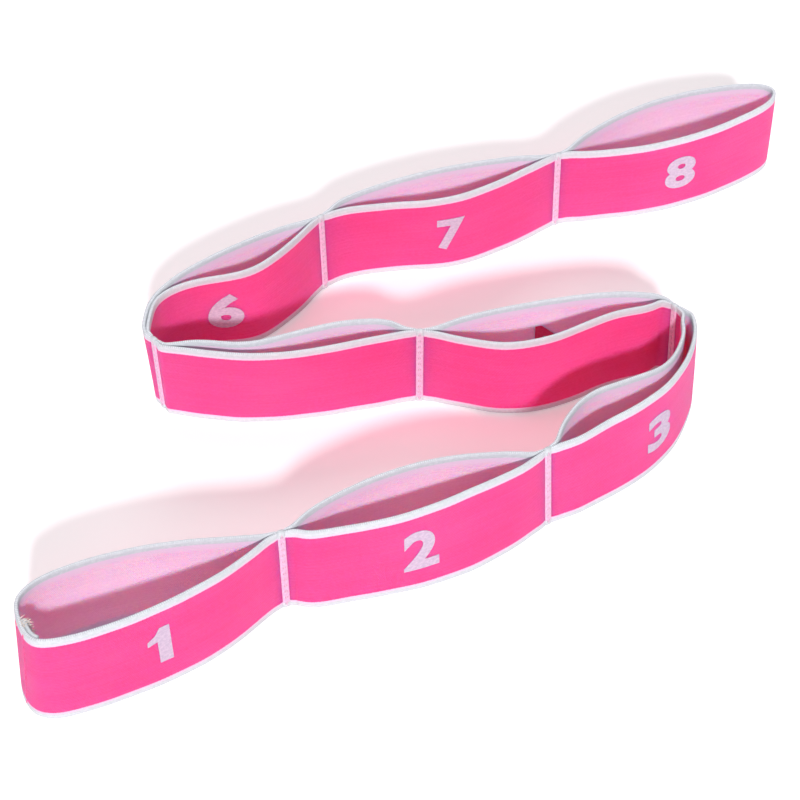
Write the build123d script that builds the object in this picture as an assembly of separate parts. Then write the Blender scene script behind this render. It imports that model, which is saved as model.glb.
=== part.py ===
from build123d import *
import math
import os

os.makedirs("parts", exist_ok=True)

# A looped elastic stretching strap, standing on its edge and laid in an S.
# Two layers of webbing are sewn together at seven seams, which leaves eight loops.
# Seen from above, the strap is followed from loop 1 to loop 8. The numbered layer is
# then always on the right hand and the plain layer on the left.
# +Z is up, z = 0 is the surface that the strap stands on. Millimetres.

# Webbing
webbing_width = 40.0        # width of the band, which is its height as it stands
webbing_thickness = 1.6     # one layer
loop_length = 112.5         # flat length of one loop, an eighth of 900
drawn_loop_length = 112.5   # loop length that the plan points below are drawn for
layer_clearance = 0.1       # between the two layers where a seam draws them together

# Seams
bar_width = 3.2             # woven bar, along the strap
bar_thickness = 2.4         # woven bar, through both layers
hinge_clearance = 0.35      # between a bar and the webbing that folds about it
bar_seat = 0.3              # how far the webbing that stays with a bar is hollowed by it
pinch_angle = 25.0          # outer surfaces are drawn in towards the seam at this angle
pinch_run = 2.0             # on from there, at full thickness, to where the loop opens

# Stretch: each loop parts at its middle run, which slides open as the elastic stretches
stretch_gap = 0.4

# Sewing
thread_diameter = 0.6
pulled_thread = 0.8         # share of its diameter that a thread keeps inside a needle hole
stitch_length = 3.2
stitch_margin = 2.4         # from the webbing's edges to the first and last stitch

# Lap join at loop 1's end
lap_gap = 0.1               # between the lapped tail and the fold that it lies in
lap_overhang = 2.5          # tail's cut end, back from the middle of the fold's flat run
lap_stitch_shift = 1.0      # row of stitches, on from the middle of the same run

# Share of a run that the arc at one of its ends may take up
arc_share = 0.47            # of the shorter run beside a corner
pinch_arc_share = 0.9       # of the pinch run, at the corner beside a seam

plan_scale = loop_length / drawn_loop_length
outer_side = webbing_thickness + layer_clearance / 2      # from a seam's plane
full_thickness_at = outer_side / math.tan(math.radians(pinch_angle))    # from a seam's axis
pinch_length = full_thickness_at + pinch_run


def plan(x, y):
    """A point of the lay-out drawn from above, at the strap's own size."""
    return Vector(x, y) * plan_scale


# Each seam: its axis in plan and the direction of travel through it, in degrees
seams = {
    1: (plan(-95, -84.5), 5),
    2: (plan(14, -79), 15),
    3: (plan(94, -21.5), 115),
    4: (plan(-8, 1.5), 160),
    5: (plan(-110.5, 32), 112),
    6: (plan(-23.5, 81.5), 18),
    7: (plan(87.5, 86.5), 4),
}

# Corners of each layer's middle line from the loop's low seam to its high one, and the
# run, counted from 0 at the first corner, in which the layer parts
layers = {
    (1, "numbered"): ([(-172, -108.9), (-148, -105.6), (-126, -99.2), (-110, -91.6)], 1),
    (1, "plain"): ([(-178, -74.4), (-156, -73.2), (-132, -76), (-110, -82)], 1),
    (2, "numbered"): ([(-83, -89.8), (-58, -93.8), (-34, -93.6), (-4, -87.2)], 1),
    (2, "plain"): ([(-81, -77.2), (-56, -70.2), (-28, -68.6), (-2, -74.8)], 1),
    (3, "numbered"): ([(32, -78.6), (60, -70), (81, -57.4), (94.5, -41.5), (98.8, -29)], 1),
    (3, "plain"): ([(25, -68), (40, -56), (60, -54.6), (78, -53), (91, -38.5), (93.4, -30)], 1),
    (4, "numbered"): ([(88.6, -11.6), (73, -4.8), (46, -0.4), (18, 1.8)], 1),
    (4, "plain"): ([(85, -18.2), (68, -16.6), (42, -22.6), (22, -19.6), (5, -8.4)], 1),
    (5, "numbered"): ([(-19, 11.4), (-37, 16.4), (-60, 16.4), (-77, 16), (-94, 25.4)], 1),
    (5, "plain"): ([(-27, 2.4), (-50, 4.8), (-76, 10.6), (-98, 21)], 1),
    (6, "plain"): ([(-112.8, 43), (-106, 56), (-92, 66), (-70, 74.2), (-44, 80.2)], 2),
    (6, "numbered"): ([(-109, 44.5), (-102, 57), (-84, 60.4), (-62, 57.8), (-42, 67.6)], 2),
    (7, "numbered"): ([(-8, 82.6), (19, 77), (40, 73.6), (70, 80.8)], 1),
    (7, "plain"): ([(-12, 89.4), (14, 93.8), (42, 94), (70, 90.4)], 1),
    (8, "numbered"): ([(101, 82.4), (127, 77.4), (155, 78.2), (177, 83)], 1),
    (8, "plain"): ([(104, 94.8), (130, 104.4), (156, 107.4), (178, 105.2)], 1),
}

# Corners of the two end folds, from the plain layer round to the numbered one
end_folds = {
    1: [(-192, -78.6), (-197.6, -86), (-198, -102.6), (-190.6, -108.9)],
    8: [(192, 101.4), (196.8, 94.6), (190.6, 87.4)],
}

side_of = {"numbered": -1, "plain": 1}      # left of the direction of travel is +1


def left_of(direction):
    """The unit vector a quarter turn to the left."""
    return Vector(-direction.Y, direction.X)


def heading(number):
    """Unit vector of travel through a seam."""
    angle = math.radians(seams[number][1])
    return Vector(math.cos(angle), math.sin(angle))


def beside_seam(number, way, along, across):
    """A point 'along' from the seam's axis towards higher (+1) or lower (-1) loops, and
    'across' to the left of travel."""
    travel = heading(number)
    return seams[number][0] + travel * way * along + left_of(travel) * across


def seam_reach(number, way):
    """How near the webbing on one side of a seam comes to the axis. The low loops' webbing
    folds about seams 1 to 4, and the high loops' webbing about seams 5 to 7."""
    folding_way = -1 if number <= 4 else 1
    if way == folding_way:
        return bar_width / 2 + hinge_clearance
    return bar_width / 2 - bar_seat


def turn_between(before, after):
    """Signed turn from one direction to the next, in radians, left positive."""
    return math.atan2(before.X * after.Y - before.Y * after.X, before.dot(after))


def runs_of(points):
    """The straight runs between a route's points."""
    return [b - a for a, b in zip(points, points[1:])]


def corner_arcs(points):
    """Radius and signed turn of the arc at each inner corner of a route. The first and last
    runs end at a seam, and there an arc has only the pinch run."""
    runs = runs_of(points)
    room = [arc_share * run.length for run in runs]
    room[0] = room[-1] = pinch_arc_share * pinch_run
    arcs = []
    for i in range(len(runs) - 1):
        turn = turn_between(runs[i], runs[i + 1])
        tangent = min(room[i], room[i + 1])
        arcs.append((tangent / math.tan(abs(turn) / 2), turn))
    return arcs


def route_length(points):
    """Length along a route whose corners are rounded by their arcs."""
    length = sum(run.length for run in runs_of(points))
    for radius, turn in corner_arcs(points):
        length += radius * abs(turn) - 2 * radius * math.tan(abs(turn) / 2)
    return length


def moved_left(points, distance):
    """The corners of the line parallel to a route, 'distance' to its left."""
    ways = [run.normalized() for run in runs_of(points)]
    ways = [ways[0]] + ways + [ways[-1]]
    moved = []
    for point, before, after in zip(points, ways, ways[1:]):
        normal = (left_of(before) + left_of(after)).normalized()
        moved.append(point + normal * (distance / normal.dot(left_of(after))))
    return moved


def rounded_line(points, radii):
    """Lines through a route's corners, each inner corner rounded by its radius."""
    edges = []
    start = points[0]
    for before, corner, after, radius in zip(points, points[1:], points[2:], radii):
        if radius > 0:
            way_in = (corner - before).normalized()
            way_out = (after - corner).normalized()
            half_turn = abs(turn_between(way_in, way_out)) / 2
            tangent = radius * math.tan(half_turn)
            first = corner - way_in * tangent
            last = corner + way_out * tangent
            crown = corner + (way_out - way_in).normalized() * radius * (1 / math.cos(half_turn) - 1)
            edges.append(Line(start, first))
            edges.append(ThreePointArc(first, crown, last))
            start = last
        else:
            edges.append(Line(start, corner))
            start = corner
    edges.append(Line(start, points[-1]))
    return edges


def edge_line(points, arcs, distance, first_end, last_end):
    """One long side of a strip in plan: its edges, first point and last point. first_end
    and last_end are the points that draw a pinched side in to its seam."""
    line_points = moved_left(points, distance)
    radii = [radius - distance * math.copysign(1, turn) for radius, turn in arcs]
    if first_end:
        line_points = first_end + line_points[1:]
        radii = [0] * (len(first_end) - 1) + radii
    if last_end:
        line_points = line_points[:-1] + last_end
        radii = radii + [0] * (len(last_end) - 1)
    return rounded_line(line_points, radii), line_points[0], line_points[-1]


def strip(points, arcs, pinches, thickness=webbing_thickness):
    """A strip of webbing on its edge. pinches maps 'first' and 'last' to the points that
    draw that end's outer side in, and 'outer' to the side that is outer: +1 is left."""
    edges = []
    starts = []
    ends = []
    for side in (1, -1):
        drawn_in = pinches.get("outer") == side
        first_end = pinches.get("first") if drawn_in else None
        last_end = pinches.get("last") if drawn_in else None
        line, start, end = edge_line(points, arcs, side * thickness / 2, first_end, last_end)
        edges += line
        starts.append(start)
        ends.append(end)
    edges += [Line(*starts), Line(*ends)]
    outline = make_face(edges)
    return extrude(outline, amount=webbing_width, dir=(0, 0, 1))


def opening_turn(number, way):
    """How far the two layers turn together where they leave a seam, in radians, left
    positive as they leave."""
    leaving = heading(number) * way
    loop, nearest = (number + 1, 0) if way > 0 else (number, -1)
    turns = []
    for layer in side_of:
        corner = plan(*layers[(loop, layer)][0][nearest])
        turns.append(turn_between(leaving, corner - beside_seam(number, way, pinch_length, 0)))
    return sum(turns) / len(turns)


def seam_points(number, way, side):
    """Middle line's end beside a seam and its pinch point, and the two outer points that
    draw the outer side in. Where both layers turn one way, the outer one of the bend turns
    further on, so that the layers stay side by side."""
    reach = seam_reach(number, way)
    across = side * (webbing_thickness + layer_clearance) / 2
    drawn_in = side * outer_side * reach / full_thickness_at
    mitre = across * way * math.tan(opening_turn(number, way) / 2)
    pinch_at = pinch_length + abs(mitre) - mitre
    middle = [beside_seam(number, way, reach, across), beside_seam(number, way, pinch_at, across)]
    drawn = [
        beside_seam(number, way, reach, drawn_in),
        beside_seam(number, way, full_thickness_at, side * outer_side),
    ]
    return middle, drawn


def run_middle(points, run, shift):
    """The middle of a run, moved 'shift' along it."""
    a, b = points[run], points[run + 1]
    return (a + b) / 2 + (b - a).normalized() * shift


def cut_route(points, arcs, start, end):
    """Part of a route between two cuts. A cut is (run, shift), and None is the route's end."""
    first = 0 if start is None else start[0] + 1
    last = len(points) - 1 if end is None else end[0]
    kept = points[first:last + 1]
    if start is not None:
        kept = [run_middle(points, *start)] + kept
        first -= 1
    if end is not None:
        kept = kept + [run_middle(points, *end)]
    return kept, arcs[first:first + len(kept) - 2]


def end_route(loop):
    """The one route of an end loop's webbing: out from its seam along the plain layer,
    round the fold and back along the numbered layer. Also its seam and the way out."""
    numbered, plain = [[plan(*p) for p in layers[(loop, layer)][0]] for layer in ("numbered", "plain")]
    seam, way = (1, -1) if loop == 1 else (7, 1)
    if loop == 1:
        plain = plain[::-1]
    else:
        numbered = numbered[::-1]
    fold = [plan(*p) for p in end_folds[loop]]
    plain_end, _ = seam_points(seam, way, side_of["plain"])
    numbered_end, _ = seam_points(seam, way, side_of["numbered"])
    return plain_end + plain + fold + numbered + numbered_end[::-1], seam, way


def end_loop_pieces(loop):
    """The webbing of loop 1 or loop 8: route, arcs and pinches of each named piece."""
    route, seam, way = end_route(loop)
    arcs = corner_arcs(route)
    near, far = ("high", "low") if loop == 1 else ("low", "high")
    plain_parts = 2 + layers[(loop, "plain")][1]
    fold_starts = 1 + len(layers[(loop, "plain")][0])
    fold_ends = fold_starts + len(end_folds[loop])
    numbered_parts = len(route) - 2 - plain_parts
    gap = stretch_gap / 2
    spans = {
        f"loop_{loop}_plain_{near}_half": (None, (plain_parts, -gap)),
        f"loop_{loop}_plain_{far}_half": ((plain_parts, gap), (fold_starts, 0)),
        f"loop_{loop}_end_fold": ((fold_starts, 0), (fold_ends, 0)),
        f"loop_{loop}_numbered_{far}_half": ((fold_ends, 0), (numbered_parts, -gap)),
        f"loop_{loop}_numbered_{near}_half": ((numbered_parts, gap), None),
    }
    pieces = {}
    for name, (start, end) in spans.items():
        pinches = {"outer": way}
        if start is None:
            pinches["first"] = seam_points(seam, way, side_of["plain"])[1]
        if end is None:
            pinches["last"] = seam_points(seam, way, side_of["numbered"])[1][::-1]
        pieces[name] = (*cut_route(route, arcs, start, end), pinches)
    length = route_length(route) + 2 * seam_reach(seam, way)
    print(f"loop {loop}, both layers: {length:.1f} mm along the middle line, {2 * loop_length:.1f} flat")
    return pieces


def sewn_loop_pieces(loop):
    """The webbing of a loop between two seams: route, arcs and pinches of each piece."""
    gap = stretch_gap / 2
    pieces = {}
    for layer, side in side_of.items():
        corners, parting = layers[(loop, layer)]
        low_end, low_drawn = seam_points(loop - 1, 1, side)
        high_end, high_drawn = seam_points(loop, -1, side)
        route = low_end + [plan(*p) for p in corners] + high_end[::-1]
        arcs = corner_arcs(route)
        parting += 2
        low_half = cut_route(route, arcs, None, (parting, -gap))
        high_half = cut_route(route, arcs, (parting, gap), None)
        pieces[f"loop_{loop}_{layer}_low_half"] = (*low_half, {"outer": side, "first": low_drawn})
        high_pinches = {"outer": side, "last": high_drawn[::-1]}
        pieces[f"loop_{loop}_{layer}_high_half"] = (*high_half, high_pinches)
        length = route_length(route) + seam_reach(loop - 1, 1) + seam_reach(loop, -1)
        print(f"loop {loop}, {layer}: {length:.1f} mm along the middle line, {loop_length:.1f} flat")
    return pieces


def upright_cylinder(radius, height):
    """A cylinder on the Z axis from z = 0."""
    return extrude(Circle(radius), amount=height)


def stitch_row(depth):
    """One row of lockstitches up the webbing, on the Z axis, through 'depth' along Y. The
    thread lies half sunk in both faces and passes through at each needle hole."""
    count = int((webbing_width - 2 * stitch_margin) / stitch_length)
    sewn = count * stitch_length
    bottom = (webbing_width - sewn) / 2
    radius = thread_diameter / 2
    run = upright_cylinder(radius, sewn + thread_diameter)
    runs = [Pos(0, face * depth / 2, bottom - radius) * run for face in (1, -1)]
    passes = []
    for hole in range(count + 1):
        height = bottom + hole * stitch_length
        passes.append(Pos(0, 0, height) * Rot(90, 0, 0) * Cylinder(radius * pulled_thread, depth))
    return runs[0] + (runs[1:] + passes)


def turned_to(point, direction):
    """Location whose X axis lies along a direction in plan."""
    return Pos(point.X, point.Y, 0) * Rot(0, 0, math.degrees(math.atan2(direction.Y, direction.X)))


def seam_bar(number):
    """The woven bar of a seam: round sides about the fold's axis, and flat faces."""
    section = Circle(bar_width / 2) & Rectangle(bar_width, bar_thickness)
    bar = extrude(section, amount=webbing_width)
    return turned_to(seams[number][0], heading(number)) * bar


parts = {}

for number in seams:
    thread = turned_to(seams[number][0], heading(number)) * stitch_row(bar_thickness)
    parts[f"seam_{number}_bar"] = seam_bar(number) - thread
    parts[f"seam_{number}_thread"] = thread

for loop in range(1, 9):
    pieces = end_loop_pieces(loop) if loop in end_folds else sewn_loop_pieces(loop)
    for name, (points, arcs, pinches) in pieces.items():
        parts[name] = strip(points, arcs, pinches)

# Webbing that stays with a bar is hollowed where the bar seats in it
for number in seams:
    for way, loop, half in ((-1, number, "high"), (1, number + 1, "low")):
        if seam_reach(number, way) < bar_width / 2:
            for layer in side_of:
                name = f"loop_{loop}_{layer}_{half}_half"
                parts[name] = parts[name] - seam_bar(number)

# The webbing's two cut ends meet at loop 1's end: the tail is lapped inside the fold
# and sewn through it
end_line = end_route(1)[0]
tail_line = moved_left(end_line, webbing_thickness + lap_gap)
tail_arcs = []
for radius, turn in corner_arcs(end_line):
    tail_arcs.append((radius - math.copysign(webbing_thickness + lap_gap, turn), turn))
lap_run = 3 + len(layers[(1, "plain")][0])     # the fold's flat run, at the loop's very end
tail, tail_corners = cut_route(tail_line, tail_arcs, (lap_run, -lap_overhang), (lap_run + 1, 0))
lap_depth = 2 * webbing_thickness + lap_gap
run_way = (end_line[lap_run + 1] - end_line[lap_run]).normalized()
between_layers = left_of(run_way) * (webbing_thickness + lap_gap) / 2
sewn_at = run_middle(end_line, lap_run, lap_stitch_shift) + between_layers
lap_thread = turned_to(sewn_at, run_way) * stitch_row(lap_depth)
parts["loop_1_lap_tail"] = strip(tail, tail_corners, {}) - lap_thread
parts["loop_1_end_fold"] = parts["loop_1_end_fold"] - lap_thread
parts["loop_1_lap_thread"] = lap_thread

for name, solid in parts.items():
    export_step(solid, f"parts/{name}.step")
print(len(parts), "nodes")
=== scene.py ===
import bpy
import bmesh
import math
import numpy as np
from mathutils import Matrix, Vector


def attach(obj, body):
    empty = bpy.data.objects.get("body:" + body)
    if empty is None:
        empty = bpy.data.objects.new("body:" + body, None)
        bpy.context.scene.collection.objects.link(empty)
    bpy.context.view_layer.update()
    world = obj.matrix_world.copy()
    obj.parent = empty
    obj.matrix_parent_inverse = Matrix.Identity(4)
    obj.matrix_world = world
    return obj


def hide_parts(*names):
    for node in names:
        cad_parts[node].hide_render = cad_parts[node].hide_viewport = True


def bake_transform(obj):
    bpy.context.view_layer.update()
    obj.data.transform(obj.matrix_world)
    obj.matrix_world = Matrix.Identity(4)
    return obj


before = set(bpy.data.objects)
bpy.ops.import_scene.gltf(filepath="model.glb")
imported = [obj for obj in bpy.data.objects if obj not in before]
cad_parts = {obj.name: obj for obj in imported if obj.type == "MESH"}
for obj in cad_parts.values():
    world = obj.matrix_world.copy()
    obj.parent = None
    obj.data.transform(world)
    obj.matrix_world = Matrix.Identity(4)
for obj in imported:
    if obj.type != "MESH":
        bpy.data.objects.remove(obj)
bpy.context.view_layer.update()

# ---------------------------------------------------------------- sizes, in metres
MM = 0.001
WIDTH = 40.0 * MM                # of the webbing, which is the strap's height
THICK = 1.6 * MM                 # one layer
BETWEEN = 0.1 * MM               # the two layers, where a seam draws them together
PINCH = 5.54 * MM                # from a seam's axis to where its loop opens
PINCHED = 0.3 * MM               # least distance of a face from a seam's plane
BAR_WIDE = 3.2 * MM
BAR_THICK = 2.4 * MM
EDGE = 3.3 * MM                  # white woven edge, as far as the pink ground
REVERSE_EDGE = 5.6 * MM          # the same on the reverse, where it fades out
STITCH = 3.2 * MM
STITCH_MARGIN = 2.4 * MM         # from an edge to the first needle hole
THREAD = 0.62 * MM
WEFT_PITCH = 0.82 * MM           # from one turn of the weft to the next, along an edge
STEP = 0.9 * MM                  # between the webbing's cross sections
ROWS = 30                        # faces up one side of the webbing
EDGE_FACES = 6                   # round one of its edges
OUTER = THICK + BETWEEN / 2      # from a seam's plane to the webbing's outer side
LAYER_START = 0.35 * MM          # from a seam's axis to the end of a layer's webbing
STRETCH_GAP = 9.0 * MM           # beside a seam, where the webbing doesn't stretch
WEFT_RIB = 0.62 * MM             # the weave's two pitches
WARP_COLUMN = 0.78 * MM
WEFT_YARN = 0.3 * MM             # half the thickness and half the length of a weft turn
WEFT_REACH = 0.62 * MM
NEEDLE_HOLE = 0.7 * MM           # gap between two stitches

# Seams: axis in plan in millimetres, and the way along the strap through it in degrees
SEAMS = {
    1: ((-95, -84.5), 5),
    2: ((14, -79), 15),
    3: ((94, -21.5), 115),
    4: ((-8, 1.5), 160),
    5: ((-110.5, 32), 112),
    6: ((-23.5, 81.5), 18),
    7: ((87.5, 86.5), 4),
}

# The points that steer each layer's middle line, from the loop's low seam to its high one
LAYERS = {
    (1, "numbered"): [(-172, -108.9), (-148, -105.6), (-126, -99.2), (-110, -91.6)],
    (1, "plain"): [(-178, -74.4), (-156, -73.2), (-132, -76), (-110, -82)],
    (2, "numbered"): [(-83, -89.8), (-58, -93.8), (-34, -93.6), (-4, -87.2)],
    (2, "plain"): [(-81, -77.2), (-56, -70.2), (-28, -68.6), (-2, -74.8)],
    (3, "numbered"): [(32, -78.6), (60, -70), (81, -57.4), (94.5, -41.5), (98.8, -29)],
    (3, "plain"): [(25, -68), (40, -56), (60, -54.6), (78, -53), (91, -38.5), (93.4, -30)],
    (4, "numbered"): [(88.6, -11.6), (73, -4.8), (46, -0.4), (18, 1.8)],
    (4, "plain"): [(85, -18.2), (68, -16.6), (42, -22.6), (22, -19.6), (5, -8.4)],
    (5, "numbered"): [(-19, 11.4), (-37, 16.4), (-60, 16.4), (-77, 16), (-94, 25.4)],
    (5, "plain"): [(-27, 2.4), (-50, 4.8), (-76, 10.6), (-98, 21)],
    (6, "plain"): [(-112.8, 43), (-106, 56), (-92, 66), (-70, 74.2), (-44, 80.2)],
    (6, "numbered"): [(-109, 44.5), (-102, 57), (-84, 60.4), (-62, 57.8), (-42, 67.6)],
    (7, "numbered"): [(-8, 82.6), (19, 77), (40, 73.6), (70, 80.8)],
    (7, "plain"): [(-12, 89.4), (14, 93.8), (42, 94), (70, 90.4)],
    (8, "numbered"): [(101, 82.4), (127, 77.4), (155, 78.2), (177, 83)],
    (8, "plain"): [(104, 94.8), (130, 104.4), (156, 107.4), (178, 105.2)],
}
END_FOLDS = {
    1: [(-192, -78.6), (-197.6, -86), (-198, -102.6), (-190.6, -108.9)],
    8: [(193.4, 101.6), (198.4, 94.8), (192.2, 87.6)],
}
SIDE = {"numbered": -1, "plain": 1}       # left of the way along the strap is +1

# How far each bar's top and bottom lean to the left of the way along the strap, in millimetres
SEAM_LEAN = {
    1: (-0.3, -2.4),
    2: (0, -3.0),
    3: (-0.6, -2.6),
    4: (1.4, 1.2),
    5: (0, -1.8),
    6: (0, -1.6),
    7: (-0.7, -1.5),
}

# How the webbing leans between two seams: share of its length, and how far its top and its
# bottom stand out from an upright face, in millimetres
LEAN = {
    (1, "both"): [(0.4, 0, 0), (0.48, -2.2, 0.3), (0.56, -2.8, 1.2), (0.63, -1.8, 1), (0.72, -1.3, 1.5),
                  (0.8, -1.2, 2.2), (0.87, -0.4, 2.4), (0.94, 0.3, 1.6)],
    (2, "numbered"): [(0.05, 0.9, 3.6), (0.12, 0, 2.5), (0.22, -1, 1.4), (0.34, -1, 1.3),
                      (0.5, -1.7, 2.4), (0.68, -2, 3.5), (0.8, -1.2, 2.8), (0.92, 0.2, 2.7)],
    (3, "numbered"): [(0.1, -0.4, 2.4), (0.18, -1.7, 1.7), (0.25, -2.4, 1.7), (0.33, -1.8, 2.2),
                      (0.43, -1, 2.3), (0.53, -0.1, 2.2), (0.75, 0, 1)],
    (4, "plain"): [(0.1, 0.2, 1.6), (0.2, -0.3, 1.3), (0.4, -0.6, 1.2), (0.55, -0.2, 0.6),
                   (0.7, 0.9, 0.2), (0.85, 0.9, -0.2)],
    (5, "plain"): [(0.08, 0.9, 0.8), (0.15, 0.2, 0.2), (0.25, 0.2, -0.4), (0.4, 1.3, -0.3),
                   (0.52, 1.8, -0.2), (0.7, 1.3, -0.2), (0.85, 0.2, -1.0), (0.92, -0.2, -2.2)],
    (6, "plain"): [(0.06, -0.5, -3.2), (0.14, -0.6, -3.6), (0.26, -0.3, -2.2), (0.4, 0, 0),
                   (0.85, 0, 0)],
    (6, "numbered"): [(0.3, -0.8, -1), (0.42, -0.4, -1.8), (0.48, 0.2, -1.2), (0.53, 0.2, 0.2),
                      (0.6, 0.4, 2), (0.7, 0, 1.6), (0.8, -0.4, 1.6), (0.9, 0.1, 1.8)],
    (7, "numbered"): [(0.06, -0.2, 0.2), (0.15, 0.2, -0.8), (0.3, 0.4, -1.3), (0.4, 1.4, -0.3),
                      (0.5, 0.9, 0.6), (0.65, 0.3, 0.8), (0.75, 0.4, 1.3), (0.85, 0, 1.5)],
    (8, "both"): [(0.5, 0, 0), (0.6, 0.5, 0.3), (0.8, 0.6, 0), (0.86, 0.6, -0.6), (0.92, 0.3, -0.9)],
}


# ---------------------------------------------------------------- shader expressions
class Wire:
    """A socket of a shader or geometry tree. Sums on it add Math nodes."""

    def __init__(self, tree, socket):
        self.tree = tree
        self.socket = socket

    def math(self, operation, *values):
        return self.tree.node("ShaderNodeMath", {"operation": operation},
                              dict(enumerate((self,) + values)))

    def __add__(self, other):
        return self.math("ADD", other)

    def __radd__(self, other):
        return self.math("ADD", other)

    def __sub__(self, other):
        return self.math("SUBTRACT", other)

    def __rsub__(self, other):
        return self.tree.node("ShaderNodeMath", {"operation": "SUBTRACT"}, {0: other, 1: self})

    def __mul__(self, other):
        return self.math("MULTIPLY", other)

    def __rmul__(self, other):
        return self.math("MULTIPLY", other)

    def __pow__(self, other):
        return self.math("POWER", other)

    def abs(self):
        return self.math("ABSOLUTE")

    def sin(self):
        return self.math("SINE")

    def floor(self):
        return self.math("FLOOR")

    def fract(self):
        return self.math("FRACT")

    def ramp(self, low, high):
        """0 below low, 1 above high, smooth between."""
        return self.tree.node("ShaderNodeMapRange", {"interpolation_type": "SMOOTHSTEP"},
                              {"Value": self, "From Min": low, "From Max": high})


class Tree:
    """A node tree with one method that makes any node."""

    def __init__(self, tree):
        self.nodes = tree.nodes
        self.links = tree.links
        self.nodes.clear()

    def node(self, kind, settings=None, inputs=None, out=0):
        made = self.nodes.new(kind)
        for name, value in (settings or {}).items():
            setattr(made, name, value)
        for name, value in (inputs or {}).items():
            socket = made.inputs[name]
            if isinstance(value, Wire):
                self.links.new(value.socket, socket)
            else:
                socket.default_value = value
        return Wire(self, made.outputs[out]) if made.outputs else made

    def split(self, vector):
        made = self.nodes.new("ShaderNodeSeparateXYZ")
        self.links.new(vector.socket, made.inputs[0])
        return [Wire(self, socket) for socket in made.outputs]

    def join(self, x, y, z):
        return self.node("ShaderNodeCombineXYZ", None, {0: x, 1: y, 2: z})

    def noise(self, place, scale, detail=2.0, rough=0.5):
        return self.node("ShaderNodeTexNoise", None,
                         {"Vector": place, "Scale": scale, "Detail": detail, "Roughness": rough})

    def mix(self, share, first, second):
        made = self.nodes.new("ShaderNodeMix")
        made.data_type = "RGBA"
        for name, value in (("Factor_Float", share), ("A_Color", first), ("B_Color", second)):
            socket = next(s for s in made.inputs if s.identifier == name)
            if isinstance(value, Wire):
                self.links.new(value.socket, socket)
            else:
                socket.default_value = value
        return Wire(self, next(s for s in made.outputs if s.identifier == "Result_Color"))


def linear(red, green, blue):
    """A colour mixed on a screen, 0 to 255, as the linear values that shaders take."""
    def one(value):
        value /= 255
        return value / 12.92 if value <= 0.04045 else ((value + 0.055) / 1.055) ** 2.4
    return (one(red), one(green), one(blue), 1.0)


# Colours. The noises of the materials below are scaled in cycles per metre
PINK = linear(254, 76, 146)
PINK_DEEP = linear(246, 58, 130)
PALE = linear(228, 198, 222)
PALE_DEEP = linear(218, 182, 210)
WHITE = linear(212, 216, 221)
WHITE_SHADE = linear(196, 201, 207)
FIGURE = linear(208, 188, 208)
FIGURE_SHADE = linear(190, 170, 194)
FIGURE_REVERSE = linear(255, 60, 112)
FIGURE_REVERSE_DEEP = linear(246, 40, 92)
BAR_PINK = linear(236, 194, 220)
BAR_PINK_DEEP = linear(224, 172, 204)
# Painted shade in the needle holes, darker and pinker than the bar
HOLE_SHADE = linear(176, 96, 140)
SHEEN = 0.08                     # of webbing and figures
SOAK = 0.9                       # share of the light that soaks into coloured webbing


def cloth(tree, colour, rough, bump, sheen, through=0.0):
    """One shader. through is how much light soaks into the cloth, red the furthest."""
    return tree.node("ShaderNodeBsdfPrincipled", None, {
        "Base Color": colour, "Roughness": rough, "Normal": bump,
        "Sheen Weight": sheen, "Sheen Roughness": 0.45, "Specular IOR Level": 0.25,
        "Subsurface Weight": through, "Subsurface Radius": (1.0, 0.06, 0.2),
        "Subsurface Scale": 8.0 * MM,
    })


def relief(tree, height, depth):
    """A bump from a height, for a shader's Normal. depth is in metres."""
    return tree.node("ShaderNodeBump", None, {"Height": height, "Distance": depth, "Strength": 0.8})


def finish(tree, colour, rough, height, depth, sheen=0.0):
    """The shader, its bump and its output."""
    shader = cloth(tree, colour, rough, relief(tree, height, depth), sheen)
    tree.node("ShaderNodeOutputMaterial", None, {"Surface": shader})


def new_material(name):
    made = bpy.data.materials.new(name)
    made.use_nodes = True
    return made, Tree(made.node_tree)


def weave(along, up):
    """Height of a plain weave: weft ribs across the webbing, over and under warp columns."""
    column = (up * (1 / WARP_COLUMN)).floor()
    crossing = ((along * (1 / WEFT_RIB) + column * 0.5) * (2 * math.pi)).sin()
    rib = ((up * (1 / WARP_COLUMN)) * math.pi).sin().abs() ** 0.6
    return crossing * 0.28 + rib * 0.6


def weave_places(tree):
    """Length along the webbing, height up it, and height from its nearer edge, in metres."""
    along, up, _ = tree.split(tree.node("ShaderNodeUVMap", {"uv_map": "weave"}))
    return along, up, (WIDTH / 2) - (up - WIDTH / 2).abs()


def outer_side(tree):
    """1 on the side of the webbing that shows outside, 0 on its reverse."""
    return tree.node("ShaderNodeAttribute", {"attribute_name": "outside"}, out="Fac")


def output_mix(tree, share, first, second):
    """The tree's output: two shaders mixed."""
    mixed = tree.node("ShaderNodeMixShader", None, {0: share, 1: first, 2: second})
    tree.node("ShaderNodeOutputMaterial", None, {"Surface": mixed})


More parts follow.
